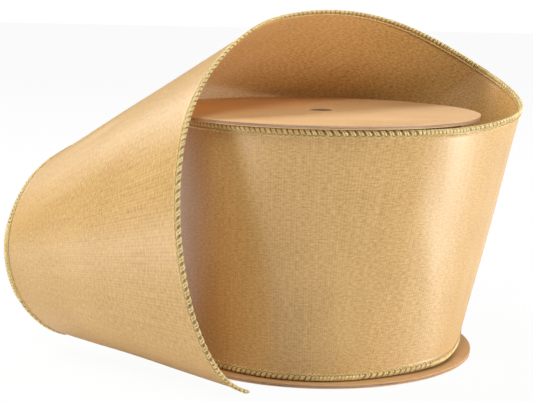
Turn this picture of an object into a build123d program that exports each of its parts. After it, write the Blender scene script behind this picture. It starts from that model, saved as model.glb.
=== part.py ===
"""Wired satin gift ribbon on a two-flange paperboard spool that stands on its bottom flange.

Millimetres, +Z up. The origin is on the spool's axis, at the underside of the bottom flange.
The ribbon is wound anticlockwise seen from above. Its last turn has sprung loose: it leaves
the roll at the front, passes round the right and the back of the spool, rises over the left
of the top flange and comes down at the front left, where its cut end meets the table.
"""
from build123d import *
from math import cos, degrees, pi, radians, sin, tan
import os

# Spool
FLANGE_RADIUS = 70.0
SPOOL_HEIGHT = 105.5
LINER_THICKNESS = 0.3
BOARD_THICKNESS = 1.0
HOLE_RADIUS = 5.5
CORE_RADIUS = 25.4
CORE_WALL = 2.0
GLUE_LEG = 1.2

# Ribbon: a satin strip with a thin wire and an overlocked bead along each edge
RIBBON_WIDTH = 101.6
SATIN_THICKNESS = 0.3
BEAD_WIDTH = 2.4
BEAD_THICKNESS = 1.6
WIRE_RADIUS = 0.2
TUCK = 0.3
ROLL_RADIUS = 62.8
TURNS = 31
TAPE_THICKNESS = 0.1
TAPE_LENGTH = 20.0
TAPE_HEIGHT = 60.0

# Loose turn: it starts on the roll, behind the flap at the left
LOOSE_RADIUS = 66.3
START_ANGLE = -78.0
SECTION_SPACING = 7.0
# Distance along the ribbon, bend radius there, and lean of the bend line towards travel
LOOSE_TURN = [
    (0, 66.3, 0),
    (90, 66.3, 0),
    (120, 92, 12),
    (150, 67, 5),
    (180, 89, 20),
    (210, 87, 21),
    (240, 60, 28),
    (270, 61, 5),
    (300, 71, -21),
    (330, 77, -29),
    (360, 83, -31),
    (390, 120, -27),
    (420, 150, -17),
    (450, 114, -26),
    (480, 89, -16),
    (510, 69, -11),
    (540, 76, 8),
    (570, 45, 21),
    (595, 26, 18),
]

# Derived
FLANGE_THICKNESS = BOARD_THICKNESS + 2 * LINER_THICKNESS
TOP_FLANGE_Z = SPOOL_HEIGHT - FLANGE_THICKNESS
MIDDLE_Z = SPOOL_HEIGHT / 2
CORE_HEIGHT = TOP_FLANGE_Z - FLANGE_THICKNESS
BEAD_CENTRE = RIBBON_WIDTH / 2 - BEAD_WIDTH / 2
WIRE_CENTRE = BEAD_CENTRE - BEAD_WIDTH / 2 - TUCK - WIRE_RADIUS
SATIN_EDGE = WIRE_CENTRE - WIRE_RADIUS - TUCK
ROLL_INNER_RADIUS = CORE_RADIUS + 2 * TAPE_THICKNESS
TURN_PITCH = (ROLL_RADIUS - ROLL_INNER_RADIUS) / TURNS


def save(piece, name):
    """Labels a finished piece and writes it as one STEP file."""
    piece.part.label = name
    export_step(piece.part, f"parts/{name}.step")
    print(f"{name:28s} {piece.part.volume:12.2f} mm3")


def make_flange(side, start_z, layers):
    """One flange: grey board between two kraft liners, each a disc with the centre hole."""
    z = start_z
    for layer, thickness in layers:
        with BuildPart() as disc:
            with BuildSketch(Plane.XY.offset(z)):
                Circle(FLANGE_RADIUS)
                Circle(HOLE_RADIUS, mode=Mode.SUBTRACT)
            extrude(amount=thickness)
        save(disc, f"{side}_flange_{layer}")
        z += thickness


def make_core():
    """The paperboard tube between the flanges."""
    with BuildPart() as core_tube:
        with BuildSketch(Plane.XY.offset(FLANGE_THICKNESS)):
            Circle(CORE_RADIUS)
            Circle(CORE_RADIUS - CORE_WALL, mode=Mode.SUBTRACT)
        extrude(amount=CORE_HEIGHT)
    save(core_tube, "core_tube")


def make_glue_ring(side, corner_z, up):
    """A fillet of glue in the corner between a flange and the inside of the core."""
    corner_r = CORE_RADIUS - CORE_WALL
    with BuildPart() as glue_ring:
        with BuildSketch(Plane.XZ):
            with BuildLine():
                Polyline(
                    (corner_r, corner_z),
                    (corner_r - GLUE_LEG, corner_z),
                    (corner_r, corner_z + up * GLUE_LEG),
                    close=True,
                )
            make_face()
        revolve(axis=Axis.Z)
    save(glue_ring, f"{side}_glue_ring")


def make_start_tape():
    """Tape that holds the ribbon's inner end to the core, under the first turn."""
    sweep_angle = degrees(TAPE_LENGTH / CORE_RADIUS)
    with BuildPart() as start_tape:
        with BuildSketch(Plane.XZ):
            with Locations((CORE_RADIUS + TAPE_THICKNESS / 2, MIDDLE_Z)):
                Rectangle(TAPE_THICKNESS, TAPE_HEIGHT)
        revolve(axis=Axis.Z, revolution_arc=sweep_angle)
    save(start_tape, "start_tape")


def make_wound_satin():
    """The wound turns of satin, as one ring from the core to the outside of the roll."""
    with BuildPart() as wound_ribbon:
        with BuildSketch(Plane.XY.offset(MIDDLE_Z - SATIN_EDGE)):
            Circle(ROLL_RADIUS)
            Circle(ROLL_INNER_RADIUS, mode=Mode.SUBTRACT)
        extrude(amount=2 * SATIN_EDGE)
    save(wound_ribbon, "wound_ribbon")


def turn_radii():
    """Mid radius of each wound turn."""
    return [ROLL_INNER_RADIUS + (i + 0.5) * TURN_PITCH for i in range(TURNS)]


def oval(width, thickness):
    """Corners of an eight-sided oval about the origin, for a bead, a ridge or a wire."""
    corner_angles = [i * pi / 4 for i in range(8)]
    return [(width / 2 * cos(a), thickness / 2 * sin(a)) for a in corner_angles]


def make_wound_edge(side, up):
    """Edge of the roll: a ridge of overlock stitching and a wire for every turn."""
    bead_z = MIDDLE_Z + up * BEAD_CENTRE
    ridge = TURN_PITCH / 2
    with BuildPart() as stitching:
        with BuildSketch(Plane.XZ):
            with Locations(((ROLL_INNER_RADIUS + ROLL_RADIUS) / 2, bead_z)):
                Rectangle(ROLL_RADIUS - ROLL_INNER_RADIUS, BEAD_WIDTH - 2 * ridge)
            for z in (bead_z - BEAD_WIDTH / 2 + ridge, bead_z + BEAD_WIDTH / 2 - ridge):
                with Locations(*[(r, z) for r in turn_radii()]):
                    Polygon(*oval(2 * ridge, 2 * ridge), align=None)
        revolve(axis=Axis.Z)
    save(stitching, f"wound_{side}_stitching")

    with BuildPart() as wire:
        with BuildSketch(Plane.XZ):
            with Locations(*[(r, MIDDLE_Z + up * WIRE_CENTRE) for r in turn_radii()]):
                Polygon(*oval(2 * WIRE_RADIUS, 2 * WIRE_RADIUS), align=None)
        revolve(axis=Axis.Z)
    save(wire, f"wound_{side}_wire")


def shape_at(distance):
    """Curvature and lean (as a slope) of the loose turn, changing evenly between stations."""
    for (d0, r0, a0), (d1, r1, a1) in zip(LOOSE_TURN, LOOSE_TURN[1:]):
        if distance <= d1:
            part_way = (distance - d0) / (d1 - d0)
            bend = (1 - part_way) / r0 + part_way / r1
            lean = (1 - part_way) * tan(radians(a0)) + part_way * tan(radians(a1))
            return bend, lean
    return 1 / LOOSE_TURN[-1][1], tan(radians(LOOSE_TURN[-1][2]))


def turned(v, axis, angle):
    """Vector v turned about a unit axis by an angle in radians."""
    return v * cos(angle) + axis.cross(v) * sin(angle) + axis * (axis.dot(v) * (1 - cos(angle)))


def loose_turn_frames():
    """Walks along the ribbon's middle line, bending the flat strip about its bend lines.

    Each frame is (middle, along the bend line, outward, stretch): the strip bends only about
    straight lines that cross it, so it stays a flat strip's shape, with no stretch anywhere.
    The last value is the bend line's length over the ribbon's width.
    """
    start = radians(START_ANGLE)
    middle = Vector(LOOSE_RADIUS * sin(start), -LOOSE_RADIUS * cos(start), MIDDLE_Z)
    travel = Vector(cos(start), sin(start), 0)
    across = Vector(0, 0, 1)
    length = LOOSE_TURN[-1][0]
    count = round(length / SECTION_SPACING)
    step = length / count
    frames = []
    for i in range(count + 1):
        lean = shape_at(i * step)[1]
        line = across + travel * lean
        frames.append((middle, line.normalized(), travel.cross(across), line.length))
        bend, lean = shape_at((i + 0.5) * step)
        line = across + travel * lean
        axis = line.normalized()
        angle = bend * line.length * step
        middle = middle + turned(travel, axis, angle / 2) * step
        travel = turned(travel, axis, angle)
        across = turned(across, axis, angle)
    return frames


def make_loose_piece(name, offset, width, thickness, is_oval):
    """A strip of the loose turn, offset from the ribbon's middle line along every bend line."""
    with BuildPart() as piece:
        for middle, line, outward, stretch in FRAMES:
            centre = middle + line * (offset * stretch)
            with BuildSketch(Plane(origin=centre, x_dir=line, z_dir=line.cross(outward))):
                if is_oval:
                    Polygon(*oval(width * stretch, thickness), align=None)
                else:
                    Rectangle(width * stretch, thickness)
        loft()
    save(piece, name)


def make_loose_wire(name, offset):
    """One edge wire of the loose turn, along the edge's own curve."""
    with BuildPart() as piece:
        with BuildLine():
            route = Spline(*[middle + line * (offset * stretch) for middle, line, _, stretch in FRAMES])
        with BuildSketch(Plane(origin=route @ 0, z_dir=route % 0)):
            Polygon(*oval(2 * WIRE_RADIUS, 2 * WIRE_RADIUS), align=None)
        sweep()
    save(piece, name)


os.makedirs("parts", exist_ok=True)

make_flange(
    "bottom",
    0,
    [
        ("outer_liner", LINER_THICKNESS),
        ("board", BOARD_THICKNESS),
        ("inner_liner", LINER_THICKNESS),
    ],
)
make_flange(
    "top",
    TOP_FLANGE_Z,
    [
        ("inner_liner", LINER_THICKNESS),
        ("board", BOARD_THICKNESS),
        ("outer_liner", LINER_THICKNESS),
    ],
)
make_core()
make_glue_ring("bottom", FLANGE_THICKNESS, 1)
make_glue_ring("top", TOP_FLANGE_Z, -1)
make_start_tape()
make_wound_satin()
make_wound_edge("upper", 1)
make_wound_edge("lower", -1)

FRAMES = loose_turn_frames()
make_loose_piece("loose_ribbon", 0, 2 * SATIN_EDGE, SATIN_THICKNESS, False)
for side, up in (("upper", 1), ("lower", -1)):
    make_loose_wire(f"loose_{side}_wire", up * WIRE_CENTRE)
    make_loose_piece(f"loose_{side}_stitching", up * BEAD_CENTRE, BEAD_WIDTH, BEAD_THICKNESS, True)
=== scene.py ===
"""Looks for the ribbon spool: wired satin ribbon with overlocked edges on a kraft paperboard spool.

Everything is in metres, in the CAD model's frame: +Z up, the spool's axis on Z, the front at -Y.
"""
import bpy
import math
import numpy as np
from mathutils import Matrix, Vector


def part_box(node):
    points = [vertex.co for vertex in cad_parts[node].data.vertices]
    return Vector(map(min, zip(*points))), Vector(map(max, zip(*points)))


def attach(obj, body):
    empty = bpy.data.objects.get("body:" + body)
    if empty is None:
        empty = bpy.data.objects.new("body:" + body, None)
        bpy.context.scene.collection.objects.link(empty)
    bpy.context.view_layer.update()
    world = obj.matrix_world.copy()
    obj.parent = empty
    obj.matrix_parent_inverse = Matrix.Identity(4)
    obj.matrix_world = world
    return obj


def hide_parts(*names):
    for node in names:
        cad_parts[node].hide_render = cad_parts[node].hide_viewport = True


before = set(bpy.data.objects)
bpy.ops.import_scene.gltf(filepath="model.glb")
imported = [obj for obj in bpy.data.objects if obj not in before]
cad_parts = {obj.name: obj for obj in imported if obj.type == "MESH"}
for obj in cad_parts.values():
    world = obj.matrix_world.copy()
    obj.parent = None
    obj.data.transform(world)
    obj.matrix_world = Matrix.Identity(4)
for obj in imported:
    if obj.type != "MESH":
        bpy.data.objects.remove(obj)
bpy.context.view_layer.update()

MM = 0.001

# ---------------------------------------------------------------- sizes
# The roll and the core, from the frame
ROLL_LOW, ROLL_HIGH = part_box("wound_ribbon")
CORE_LOW, CORE_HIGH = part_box("core_tube")
ROLL_RADIUS = (ROLL_HIGH.x - ROLL_LOW.x) / 2
CORE_RADIUS = (CORE_HIGH.x - CORE_LOW.x) / 2
MIDDLE_Z = (ROLL_LOW.z + ROLL_HIGH.z) / 2

# The ribbon and its overlocked edge
RIBBON_WIDTH = 101.6 * MM
SATIN_THICKNESS = 0.3 * MM
BEAD_WIDTH = 2.4 * MM
BEAD_CENTRE = RIBBON_WIDTH / 2 - BEAD_WIDTH / 2
LOOSE_BEAD_THICKNESS = 1.6 * MM
WOUND_BEAD_THICKNESS = 1.1 * MM
SATIN_HALF = BEAD_CENTRE
WIRE_INSET = 1.6 * MM
WIRE_CENTRE = BEAD_CENTRE - WIRE_INSET
WIRE_RADIUS = 0.2 * MM
STITCH = 2.3 * MM
YARN_RADIUS = 0.42 * MM
PLY_LAG = 0.34
CHAIN_RADIUS = 0.24 * MM
CHAIN_HEIGHT = 0.42 * MM
CHAIN_SWAY = 0.3 * MM
CHAIN_RISE = 0.12 * MM
# The satin swells over the wire, and is pinched a little way in from it
SWELL = 0.2 * MM
PINCH = 0.07 * MM
PINCH_DISTANCE = 1.3 * MM
SWELL_SPREAD = 0.5 * MM

# The roll's spiral
TURNS = 31
ROLL_START_RADIUS = CORE_RADIUS + 0.4 * MM
ROLL_END_RADIUS = ROLL_RADIUS - 0.6 * MM
ROLL_PITCH = (ROLL_END_RADIUS - ROLL_START_RADIUS) / TURNS
WOUND_LENGTH = math.pi * TURNS * (ROLL_START_RADIUS + ROLL_END_RADIUS)
# Only the outermost turn, and a little more, has all its stitching. Further in, where other turns
# cover it, the edge has just its padded core
STITCHED_TURNS = 1.05
OUTER_TURN = WOUND_LENGTH - 2 * math.pi * ROLL_END_RADIUS * STITCHED_TURNS

# The loose turn: distance along the ribbon (mm), bend radius there (mm), and lean of the bend
# line towards travel (degrees)
LOOSE_RADIUS = 66.3 * MM
START_ANGLE = math.radians(-78)
LOOSE_TURN = [
    (0, 66.3, 0),
    (90, 66.3, 0),
    (120, 92, 12),
    (150, 67, 5),
    (180, 89, 20),
    (210, 87, 21),
    (240, 60, 28),
    (270, 61, 5),
    (300, 71, -21),
    (330, 77, -29),
    (360, 83, -31),
    (390, 120, -27),
    (420, 150, -17),
    (450, 114, -26),
    (480, 89, -16),
    (510, 69, -11),
    (540, 76, 8),
    (570, 45, 21),
    (595, 26, 18),
]
LOOSE_LENGTH = LOOSE_TURN[-1][0] * MM
# Over its first stretch the loose turn comes off the roll, out to its own radius. Its bead
# clears the roll by a little, so that the turn can go round
START_RUN = 90 * MM
ROLL_CLEARANCE = 0.1 * MM
START_SINK = LOOSE_RADIUS - (ROLL_RADIUS + ROLL_CLEARANCE + LOOSE_BEAD_THICKNESS / 2)

# Soft unevenness of the satin: height (mm), wavelength along and across (mm), and phase
RIPPLES = [(0.31, 61, 47, 0.4), (0.22, 37, 83, 2.1), (0.16, 23, 31, 4.4), (0.10, 14, 26, 1.3)]

# How finely the meshes are divided: places along the ribbon and across it, and steps along edges
LOOSE_PLACES = 427
LOOSE_ROWS = 47
TURN_PLACES = 40
OUTER_PLACES = 240
WOUND_ROWS = 11
EDGE_BAND = 4 * MM
EDGE_ROWS = 10
STITCH_STEPS = 12
CORE_STEP = 2.4 * MM
WIRE_STEP = 3 * MM


# ---------------------------------------------------------------- where the ribbon goes
def smooth(t):
    """0 to 1 with level ends, for t from 0 to 1."""
    t = np.clip(t, 0, 1)
    return t * t * (3 - 2 * t)


def ripple(s, v):
    """Height of the satin's unevenness, which dies out towards the wired edges."""
    height = 0
    for size, along, across, phase in RIPPLES:
        turn = 2 * math.pi * (s / (along * MM) + 0.35 * np.sin(v / (across * MM))) + phase
        height = height + size * MM * np.sin(turn) * np.cos(v / (across * MM) + phase)
    return height * (1 - smooth(np.abs(v) / SATIN_HALF * 1.1 - 0.1))


def walk_strip(step=0.5 * MM):
    """Walks along a flat strip that bends only about straight lines that cross it.

    Gives the distances, and an array of the middle, the travel, the direction across and the
    slope of the bend line at each of them.
    """
    rows = np.array(LOOSE_TURN, float)
    slopes = np.tan(np.radians(rows[:, 2]))
    count = round(LOOSE_LENGTH / step)
    distances = np.arange(count + 1) * LOOSE_LENGTH / count
    halves = (distances[1:] + distances[:-1]) / 2
    bends = np.interp(halves, rows[:, 0] * MM, 1 / (rows[:, 1] * MM))
    half_leans = np.interp(halves, rows[:, 0] * MM, slopes)
    leans = np.interp(distances, rows[:, 0] * MM, slopes)
    middle = Vector((math.sin(START_ANGLE), -math.cos(START_ANGLE), 0)) * LOOSE_RADIUS
    middle.z = MIDDLE_Z
    travel = Vector((math.cos(START_ANGLE), math.sin(START_ANGLE), 0))
    across = Vector((0, 0, 1))
    found = [(*middle, *travel, *across, leans[0])]
    for i in range(count):
        advance = distances[i + 1] - distances[i]
        line = across + travel * half_leans[i]
        angle = bends[i] * line.length * advance
        middle = middle + Matrix.Rotation(angle / 2, 3, line) @ travel * advance
        spin = Matrix.Rotation(angle, 3, line)
        travel, across = spin @ travel, spin @ across
        found.append((*middle, *travel, *across, leans[i + 1]))
    return distances, np.array(found)


STRIP_DISTANCES, STRIP = walk_strip()


def loose_point(s, v, lift, ripples=1.0):
    """A point of the loose turn: s along the ribbon, v across it, lift out of its surface."""
    column = [np.interp(s, STRIP_DISTANCES, c) for c in STRIP.T]
    middle, travel, across = (np.stack(column[i : i + 3], -1) for i in (0, 3, 6))
    outward = np.cross(travel, across)
    leaving = smooth(s / START_RUN)
    rise = lift + ripples * leaving * ripple(s, v) - START_SINK * (1 - leaving)
    line = across + travel * column[9][..., None]
    return middle + line * np.asarray(v)[..., None] + outward * rise[..., None]


def wound_point(s, v, lift, ripples=0.2):
    """A point of the roll: s along the spiral from the core, v up from its middle, lift outward.

    The spiral ends where the loose turn begins.
    """
    turn = (np.sqrt(ROLL_START_RADIUS**2 + ROLL_PITCH * s / math.pi) - ROLL_START_RADIUS) / ROLL_PITCH
    angle = START_ANGLE + 2 * math.pi * (turn - TURNS)
    fade = smooth((WOUND_LENGTH - s) / START_RUN)
    radius = ROLL_START_RADIUS + ROLL_PITCH * turn + lift + ripples * fade * ripple(s, v)
    height = MIDDLE_Z + v + 0 * radius
    return np.stack([radius * np.sin(angle), -radius * np.cos(angle), height], -1)


# ---------------------------------------------------------------- meshes
def mesh_object(name, points, faces, uvs, slots):
    """A smooth-shaded mesh; uvs has a (u, v) for each point, and slots an index for each face."""
    mesh = bpy.data.meshes.new(name)
    mesh.from_pydata(points.tolist(), [], faces)
    layer = mesh.uv_layers.new(name="ribbon")
    corners = np.zeros(len(mesh.loops), np.int32)
    mesh.loops.foreach_get("vertex_index", corners)
    layer.data.foreach_set("uv", uvs.astype(np.float32)[corners].ravel())
    mesh.polygons.foreach_set("material_index", np.asarray(slots, np.int32))
    mesh.polygons.foreach_set("use_smooth", np.ones(len(mesh.polygons), bool))
    mesh.update()
    piece = bpy.data.objects.new(name, mesh)
    bpy.context.scene.collection.objects.link(piece)
    return piece


def grid_faces(rows, columns, start=0, wrap=False):
    """Quads of a grid of points; wrap joins the last column to the first."""
    i, j = np.meshgrid(np.arange(rows - 1), np.arange(columns - (not wrap)), indexing="ij")
    k = (j + 1) % columns
    quads = [i * columns + j, i * columns + k, (i + 1) * columns + k, (i + 1) * columns + j]
    return np.stack(quads, -1).reshape(-1, 4) + start


def thin_solid(name, outer, inner, uv):
    """A closed sheet between two grids of points: the outer face in slot 0, the rest in 1."""
    rows, columns = outer.shape[:2]
    count = rows * columns
    index = np.arange(count).reshape(rows, columns)
    rim = np.concatenate([index[0], index[1:, -1], index[-1, -2::-1], index[-2:0:-1, 0]])
    after = np.roll(rim, -1)
    front = grid_faces(rows, columns)[:, ::-1]
    back = grid_faces(rows, columns, start=count)
    edge = np.stack([rim, after, after + count, rim + count], -1)
    points = np.concatenate([outer.reshape(-1, 3), inner.reshape(-1, 3)])
    uvs = np.concatenate([uv, uv]).reshape(-1, 2)
    slots = np.repeat([0, 1, 1], [len(front), len(back), len(edge)])
    return mesh_object(name, points, np.concatenate([front, back, edge]).tolist(), uvs, slots)


def tubes(name, runs):
    """Closed tubes in one mesh; each run is (path, way out, sides, radius, flatness, slot)."""
    points, faces, uvs, slots, start = [], [], [], [], 0
    for path, outward, sides, radius, flatness, slot in runs:
        ahead = np.gradient(path, axis=0)
        ahead /= np.linalg.norm(ahead, axis=1, keepdims=True)
        side = np.cross(ahead, outward)
        side /= np.linalg.norm(side, axis=1, keepdims=True)
        up = np.cross(side, ahead)
        turn = np.arange(sides) * 2 * math.pi / sides
        ring = side[:, None] * np.cos(turn)[:, None] + up[:, None] * np.sin(turn)[:, None] * flatness
        points.append((path[:, None] + ring * radius).reshape(-1, 3))
        last = start + (len(path) - 1) * sides
        made = grid_faces(len(path), sides, start, wrap=True)[:, ::-1].tolist()
        made.append(list(range(start, start + sides)))
        made.append(list(range(last + sides - 1, last - 1, -1)))
        faces.extend(made)
        slots.extend([slot] * len(made))
        along = np.concatenate([[0], np.cumsum(np.linalg.norm(np.diff(path, axis=0), axis=1))])
        around = turn * radius
        uvs.append(np.stack(np.broadcast_arrays(along[:, None], around), -1).reshape(-1, 2))
        start += len(path) * sides
    return mesh_object(name, np.concatenate(points), faces, np.concatenate(uvs), slots)


# ---------------------------------------------------------------- ribbon pieces
def half_thickness(v):
    """Half the satin's thickness: it swells over the wire, and is pinched beside it."""
    from_wire = np.abs(v) - WIRE_CENTRE
    swell = SWELL * np.exp(-((from_wire / SWELL_SPREAD) ** 2))
    pinch = PINCH * np.exp(-(((from_wire + PINCH_DISTANCE) / SWELL_SPREAD) ** 2))
    return SATIN_THICKNESS / 2 + swell - pinch


def satin_rows(count):
    """Places across the ribbon, closer together at its edges."""
    edge = SATIN_HALF - EDGE_BAND
    side = np.linspace(edge, SATIN_HALF, EDGE_ROWS + 1)[1:]
    return np.concatenate([-side[::-1], np.linspace(-edge, edge, count), side])


def make_satin(name, point, distances, rows):
    """The satin between the two edges, as a closed thin sheet."""
    s, v = np.meshgrid(distances, rows, indexing="ij")
    half = half_thickness(v)
    return thin_solid(name, point(s, v, half), point(s, v, -half), np.stack([s, v], -1))


def run_of(point, s, v, lift, *section):
    """A tube's run beside an edge: its path, the way out of the satin there, and its section."""
    path = point(s, v, lift)
    out = point(s, v, lift + MM) - path
    return (path, out / np.linalg.norm(out, axis=-1, keepdims=True), *section)


def make_stitching(name, point, start, end, up, thickness, plain_from=None):
    """Overlock stitching on one edge: a padded core, two wrapping yarns and a chain each side.

    Before start, from plain_from on, only the core runs, where other turns cover it.
    """
    count = round((end - start) / STITCH)
    pitch = (end - start) / count
    begin = start if plain_from is None else plain_from
    s = np.linspace(begin, end, round((end - begin) / CORE_STEP))
    bead = np.full_like(s, up * BEAD_CENTRE)
    core_radius = BEAD_WIDTH / 2 - YARN_RADIUS * 0.9
    flatness = (thickness / 2 - YARN_RADIUS * 0.5) / core_radius
    runs = [run_of(point, s, bead, 0 * s, 10, core_radius, flatness, 1)]
    stitch = np.linspace(0, count, count * STITCH_STEPS + 1)
    turn = 2 * math.pi * stitch
    wide, high = BEAD_WIDTH / 2 - YARN_RADIUS, thickness / 2 - YARN_RADIUS * 0.85
    for ply in (0.0, PLY_LAG):
        s = start + np.clip(stitch + ply, 0, count) * pitch
        v = up * (BEAD_CENTRE + wide * np.cos(turn))
        runs.append(run_of(point, s, v, high * np.sin(turn), 7, YARN_RADIUS, 0.9, 0))
    for face in (1, -1):
        s = start + stitch * pitch
        v = up * (WIRE_CENTRE + CHAIN_SWAY * np.sin(turn))
        lift = face * (CHAIN_HEIGHT + CHAIN_RISE * np.cos(2 * turn))
        runs.append(run_of(point, s, v, lift, 6, CHAIN_RADIUS, 0.85, 0))
    return tubes(name, runs)


def make_wire(name, point, start, end, up):
    """The thin wire inside one edge."""
    s = np.linspace(start, end, round((end - start) / WIRE_STEP))
    v = np.full_like(s, up * WIRE_CENTRE)
    return tubes(name, [run_of(point, s, v, 0 * s, 8, WIRE_RADIUS, 1, 0)])


# ---------------------------------------------------------------- materials
def linear(*rgb):
    """Screen colour (0 to 255) to the linear values that shaders take, with alpha."""
    return tuple(((c / 255 + 0.055) / 1.055) ** 2.4 for c in rgb) + (1.0,)


class Paint:
    """One material's nodes. Textures run on the ribbon's own lengths, or on the frame's."""

    def __init__(self, name, **values):
        self.material = bpy.data.materials.new(name)
        self.material.use_nodes = True
        self.tree = self.material.node_tree
        self.shader = self.tree.nodes["Principled BSDF"]
        for socket, value in values.items():
            self.shader.inputs[socket.replace("_", " ")].default_value = value

    def add(self, kind, inputs=(), **settings):
        """Adds a node; inputs gives each socket a value or another node's output."""
        node = self.tree.nodes.new(f"ShaderNode{kind}")
        for key, value in settings.items():
            setattr(node, key, value)
        for socket, value in dict(inputs).items():
            if isinstance(value, bpy.types.NodeSocket):
                self.tree.links.new(value, node.inputs[socket])
            else:
                node.inputs[socket].default_value = value
        return node

    def ribbon(self, along, across):
        """Ribbon coordinates, in waves of these many millimetres along and across."""
        place = self.add("UVMap", uv_map="ribbon").outputs[0]
        scale = (1 / (along * MM), 1 / (across * MM), 1)
        return self.add("Mapping", {"Vector": place, "Scale": scale}).outputs[0]

    def space(self, x, y, z):
        """Frame coordinates, in waves of these many millimetres."""
        place = self.add("TexCoord").outputs["Object"]
        scale = (1 / (x * MM), 1 / (y * MM), 1 / (z * MM))
        return self.add("Mapping", {"Vector": place, "Scale": scale}).outputs[0]

    def noise(self, place, detail=2.0, rough=0.5):
        inputs = {"Vector": place, "Scale": 1.0, "Detail": detail, "Roughness": rough}
        return self.add("TexNoise", inputs).outputs["Fac"]

    def spread(self, value, low, high, out_low=0.0, out_high=1.0):
        """Maps a value's range onto another."""
        inputs = {"Value": value, "From Min": low, "From Max": high, "To Min": out_low, "To Max": out_high}
        return self.add("MapRange", inputs).outputs["Result"]

    def ribs(self, pitch):
        """Even ribs across the ribbon, this many millimetres apart: -1 to 1."""
        along = self.add("SeparateXYZ", {0: self.ribbon(pitch, 1)}).outputs[0]
        return self.join("SINE", self.join("MULTIPLY", along, 2 * math.pi), 0.0)

    def mix(self, factor, first, second):
        node = self.add("Mix", data_type="RGBA")
        for socket, value in ((node.inputs[0], factor), (node.inputs[6], first), (node.inputs[7], second)):
            if isinstance(value, bpy.types.NodeSocket):
                self.tree.links.new(value, socket)
            else:
                socket.default_value = value
        return node.outputs[2]

    def join(self, operation, first, second):
        return self.add("Math", {0: first, 1: second}, operation=operation).outputs[0]

    def drive(self, socket, value):
        self.tree.links.new(value, self.shader.inputs[socket])

    def bump(self, height, distance, strength=1.0):
        inputs = {"Height": height, "Distance": distance, "Strength": strength}
        self.drive("Normal", self.add("Bump", inputs).outputs[0])


def satin(name, light, dark, rough, grain):
    """Woven satin: short floats along the ribbon, faint weft ribs across it, cloudy colour."""
    paint = Paint(
        name, IOR=1.6, Specular_IOR_Level=0.6, Anisotropic=0.6, Anisotropic_Rotation=0.25,
        Sheen_Weight=0.12, Sheen_Roughness=0.4,
    )
    clouds = paint.noise(paint.ribbon(26, 19), detail=3.0)
    weft = paint.noise(paint.ribbon(0.9, 40), detail=1.0)
    ribs = paint.ribs(1.1)
    floats = paint.noise(paint.ribbon(1.9, 0.7), detail=4.0, rough=0.7)
    cloudy = paint.spread(clouds, 0.3, 0.7, -0.06, 0.06)
    barred = paint.spread(weft, 0.3, 0.7, -0.06, 0.06)
    tone = paint.join("ADD", paint.join("ADD", cloudy, barred), paint.join("MULTIPLY", ribs, 0.07))
    tone = paint.join("ADD", tone, paint.spread(floats, 0.3, 0.7, 0.5 - grain, 0.5 + grain))
    paint.drive("Base Color", paint.mix(tone, dark, light))
    paint.drive("Roughness", paint.spread(floats, 0.3, 0.7, rough - 0.1, rough + 0.12))
    height = paint.join("ADD", floats, paint.join("MULTIPLY", paint.join("ADD", ribs, weft), 0.15))
    paint.bump(height, 0.07 * MM, 0.7)
    paint.drive("Tangent", paint.add("Tangent", direction_type="UV_MAP", uv_map="ribbon").outputs[0])
    return paint.material


def thread(name, light, dark):
    """Shiny twisted yarn: plies that lean round it, and painted shade that darkens the hollows between
    them.
    """
    paint = Paint(name, Metallic=0.12, Roughness=0.42, Sheen_Weight=0.2, Specular_IOR_Level=0.5)
    plies = paint.noise(paint.ribbon(0.35, 0.5), detail=2.0)
    length = paint.noise(paint.ribbon(6, 4), detail=2.0)
    # The ply noise that raises the plies in the bump also darkens the colour in the hollows between them:
    # painted shade. The length noise is the yarn's own uneven tone.
    tone = paint.join("ADD", paint.spread(plies, 0.3, 0.7), paint.spread(length, 0.3, 0.7, -0.2, 0.2))
    paint.drive("Base Color", paint.mix(tone, dark, light))
    paint.bump(plies, 0.08 * MM, 0.9)
    return paint.material


def kraft(name, light, dark):
    """Kraft paper: soft clouds, short pale and dark fibres, a faint grain."""
    paint = Paint(name, Roughness=0.62, Specular_IOR_Level=0.4)
    clouds = paint.noise(paint.space(30, 30, 30), detail=4.0)
    fibres = paint.noise(paint.space(2.6, 0.35, 1), detail=3.0, rough=0.7)
    crossing = paint.noise(paint.space(0.4, 2.2, 1), detail=3.0, rough=0.7)
    cloudy = paint.spread(clouds, 0.3, 0.7, 0.3, 0.7)
    tone = paint.join("ADD", cloudy, paint.spread(fibres, 0.25, 0.75, -0.22, 0.22))
    tone = paint.join("ADD", tone, paint.spread(crossing, 0.25, 0.75, -0.16, 0.16))
    paint.drive("Base Color", paint.mix(tone, dark, light))
    paint.bump(paint.join("ADD", fibres, crossing), 0.03 * MM, 0.6)
    return paint.material


def board(name, light, dark):
    """Cut chipboard: thin plies one over another, with pulled fibres and dark flecks."""
    paint = Paint(name, Roughness=0.85, Specular_IOR_Level=0.25)
    plies = paint.noise(paint.space(18, 18, 0.22), detail=3.0, rough=0.6)
    flecks = paint.noise(paint.space(0.5, 0.5, 0.2), detail=2.0, rough=0.7)
    tone = paint.join("ADD", paint.spread(plies, 0.3, 0.7), paint.spread(flecks, 0.3, 0.7, -0.3, 0.3))
    paint.drive("Base Color", paint.mix(tone, dark, light))
    paint.bump(paint.join("ADD", plies, flecks), 0.12 * MM, 0.8)
    return paint.material


def plain(name, light, dark, size, rough, **values):
    """A small hidden piece's finish: one mottled colour."""
    paint = Paint(name, Roughness=rough, **values)
    mottle = paint.noise(paint.space(size, size, size), detail=3.0)
    paint.drive("Base Color", paint.mix(paint.spread(mottle, 0.3, 0.7), dark, light))
    paint.bump(mottle, 0.03 * MM, 0.5)
    return paint.material


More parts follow.
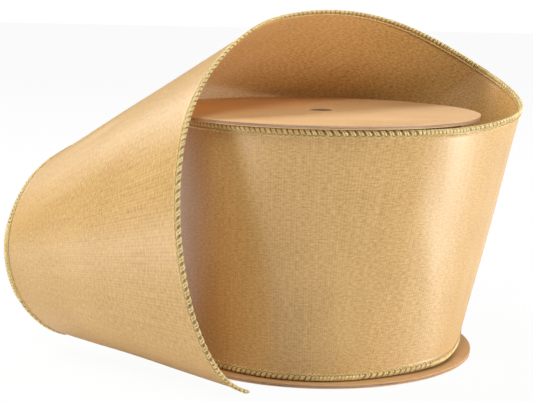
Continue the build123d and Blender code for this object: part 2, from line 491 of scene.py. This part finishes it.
SATIN_OUT = satin("satin_outer_face", linear(230, 192, 126), linear(178, 132, 68), 0.42, 0.42)
SATIN_IN = satin("satin_inner_face", linear(240, 198, 122), linear(168, 114, 50), 0.36, 0.5)
THREAD = thread("overlock_thread", linear(248, 226, 158), linear(194, 162, 96))
# The padded core shows only in the gaps between stitches. Its colours are darker than the yarn's, as
# painted shade for those gaps.
EDGE_CORE = thread("overlock_core", linear(160, 134, 80), linear(110, 90, 54))
KRAFT = kraft("kraft_liner", linear(238, 194, 138), linear(208, 160, 104))
BOARD = board("grey_board", linear(206, 174, 148), linear(142, 112, 90))
CORE_BOARD = board("core_board", linear(178, 146, 112), linear(140, 108, 80))
GLUE = plain("dried_glue", linear(238, 226, 196), linear(214, 196, 156), 2.0, 0.3)
TAPE = plain("clear_tape", linear(240, 232, 214), linear(226, 214, 190), 5.0, 0.2, Alpha=0.6)
STEEL = plain("soft_wire", linear(190, 188, 182), linear(140, 138, 134), 1.0, 0.35, Metallic=1.0)

NODE_FINISH = {
    "bottom_flange_outer_liner": KRAFT,
    "bottom_flange_board": BOARD,
    "bottom_flange_inner_liner": KRAFT,
    "top_flange_inner_liner": KRAFT,
    "top_flange_board": BOARD,
    "top_flange_outer_liner": KRAFT,
    "core_tube": CORE_BOARD,
    "bottom_glue_ring": GLUE,
    "top_glue_ring": GLUE,
    "start_tape": TAPE,
}
for node, material in NODE_FINISH.items():
    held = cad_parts[node].data.materials
    held.clear()
    held.append(material)


# ---------------------------------------------------------------- the pieces
def finish_piece(piece, body, node, slot, *materials):
    """Gives a piece its materials, and puts it on a body in a CAD node's place."""
    for material in materials:
        piece.data.materials.append(material)
    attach(piece, body)
    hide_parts(node)


loose_distances = np.linspace(0, LOOSE_LENGTH, LOOSE_PLACES)
loose_satin = make_satin("loose_satin", loose_point, loose_distances, satin_rows(LOOSE_ROWS))
finish_piece(loose_satin, "loose_turn", "loose_ribbon", "satin", SATIN_OUT, SATIN_IN)

inner_distances = np.linspace(0, OUTER_TURN, TURNS * TURN_PLACES)[:-1]
outer_distances = np.linspace(OUTER_TURN, WOUND_LENGTH, OUTER_PLACES)
wound_distances = np.concatenate([inner_distances, outer_distances])
wound_satin = make_satin("wound_satin", wound_point, wound_distances, satin_rows(WOUND_ROWS))
finish_piece(wound_satin, "spool", "wound_ribbon", "satin", SATIN_OUT, SATIN_IN)

loose_edges, wound_edges = [], []
for side, up in (("upper", 1), ("lower", -1)):
    name = f"loose_{side}_overlock"
    stitching = make_stitching(name, loose_point, 0, LOOSE_LENGTH, up, LOOSE_BEAD_THICKNESS)
    finish_piece(stitching, "loose_turn", f"loose_{side}_stitching", "edge_thread", THREAD, EDGE_CORE)
    wire = make_wire(f"loose_{side}_soft_wire", loose_point, 0, LOOSE_LENGTH, up)
    finish_piece(wire, "loose_turn", f"loose_{side}_wire", "steel_wire", STEEL)
    loose_edges += [stitching, wire]
    name = f"wound_{side}_overlock"
    ends = (OUTER_TURN, WOUND_LENGTH)
    stitching = make_stitching(name, wound_point, *ends, up, WOUND_BEAD_THICKNESS, plain_from=0)
    finish_piece(stitching, "spool", f"wound_{side}_stitching", "edge_thread", THREAD, EDGE_CORE)
    wire = make_wire(f"wound_{side}_soft_wire", wound_point, 0, WOUND_LENGTH, up)
    finish_piece(wire, "spool", f"wound_{side}_wire", "steel_wire", STEEL)
    wound_edges += [stitching, wire]


# ---------------------------------------------------------------- floor, light and camera
def lit_for_camera(tree, lit, bright, amount):
    """Mixes a bright shader into a lit one, only where the camera itself looks."""
    path = tree.nodes.new("ShaderNodeLightPath")
    share = tree.nodes.new("ShaderNodeMath")
    share.operation = "MULTIPLY"
    share.inputs[1].default_value = amount
    mixed = tree.nodes.new("ShaderNodeMixShader")
    tree.links.new(path.outputs["Is Camera Ray"], share.inputs[0])
    tree.links.new(share.outputs[0], mixed.inputs[0])
    tree.links.new(lit.outputs[0], mixed.inputs[1])
    tree.links.new(bright.outputs[0], mixed.inputs[2])
    return mixed


FLOOR_HALF = 6.0
CAMERA_WHITE = 0.95
LAMP_DISTANCE = 1.2


def make_floor():
    """A pale floor that fills the view behind the object and is nearly white to the camera."""
    half = FLOOR_HALF
    corners = [(-half, -half, 0), (half, -half, 0), (half, half, 0), (-half, half, 0)]
    mesh = bpy.data.meshes.new("floor")
    mesh.from_pydata(corners, [], [(0, 1, 2, 3)])
    floor = bpy.data.objects.new("floor", mesh)
    bpy.context.scene.collection.objects.link(floor)
    pale = Paint("pale_floor", Base_Color=(0.9, 0.9, 0.9, 1), Roughness=0.9, Specular_IOR_Level=0.1)
    glow = pale.add("Emission", {"Strength": 1.0})
    mixed = lit_for_camera(pale.tree, pale.shader, glow, CAMERA_WHITE)
    pale.tree.links.new(mixed.outputs[0], pale.tree.nodes["Material Output"].inputs["Surface"])
    mesh.materials.append(pale.material)


def add_softbox(name, azimuth, elevation, size, power):
    """A softbox aimed at the object. Azimuth 0 is the front, and 90 the right."""
    a, e = math.radians(azimuth), math.radians(elevation)
    target = Vector((0, 0, MIDDLE_Z))
    back = Vector((math.sin(a) * math.cos(e), -math.cos(a) * math.cos(e), math.sin(e)))
    light = bpy.data.lights.new(name, "AREA")
    light.shape = "RECTANGLE"
    light.size, light.size_y = size
    light.energy = power
    lamp = bpy.data.objects.new(name, light)
    lamp.location = target + back * LAMP_DISTANCE
    lamp.rotation_mode = "QUATERNION"
    lamp.rotation_quaternion = (-back).to_track_quat("-Z", "Y")
    bpy.context.scene.collection.objects.link(lamp)


def set_world(strength):
    """White behind everything, and a weak even light."""
    world = bpy.data.worlds.new("studio")
    world.use_nodes = True
    tree = world.node_tree
    dim = tree.nodes["Background"]
    dim.inputs["Color"].default_value = (1, 1, 1, 1)
    dim.inputs["Strength"].default_value = strength
    bright = tree.nodes.new("ShaderNodeBackground")
    bright.inputs["Color"].default_value = (1, 1, 1, 1)
    mixed = lit_for_camera(tree, dim, bright, 1.0)
    tree.links.new(mixed.outputs[0], tree.nodes["World Output"].inputs["Surface"])
    bpy.context.scene.world = world


CAMERA_PLACE = Vector((0, -552.2 * MM, 153.65 * MM))
CAMERA_PITCH = math.radians(9.206)
CAMERA_YAW = math.radians(-2.371)
CAMERA_ROLL = math.radians(1.147)
LENS = 84.6
SENSOR = 36.0


def make_camera():
    """A long lens at the photo's viewing angle, a little above the top flange."""
    data = bpy.data.cameras.new("camera")
    data.lens, data.sensor_width = LENS, SENSOR
    data.clip_start, data.clip_end = 0.01, 50
    camera = bpy.data.objects.new("camera", data)
    ahead = Vector(
        (
            math.sin(CAMERA_YAW) * math.cos(CAMERA_PITCH),
            math.cos(CAMERA_YAW) * math.cos(CAMERA_PITCH),
            -math.sin(CAMERA_PITCH),
        )
    )
    right = Vector((math.cos(CAMERA_YAW), -math.sin(CAMERA_YAW), 0))
    up = right.cross(ahead)
    turn = Matrix((right, up, -ahead)).transposed() @ Matrix.Rotation(CAMERA_ROLL, 3, "Z")
    camera.matrix_world = Matrix.Translation(CAMERA_PLACE) @ turn.to_4x4()
    bpy.context.scene.collection.objects.link(camera)
    bpy.context.scene.camera = camera


make_floor()
set_world(0.1)
add_softbox("softbox_top", azimuth=-15, elevation=55, size=(0.6, 0.6), power=5.8)
add_softbox("softbox_right", azimuth=84, elevation=5, size=(0.4, 0.3), power=13)
add_softbox("softbox_left", azimuth=-62, elevation=8, size=(0.5, 0.3), power=4)
add_softbox("softbox_back_left", azimuth=-114, elevation=50, size=(0.6, 0.5), power=10)
add_softbox("softbox_back_right", azimuth=150, elevation=35, size=(0.6, 0.5), power=3.5)
make_camera()
bpy.context.scene.view_settings.view_transform = "Standard"
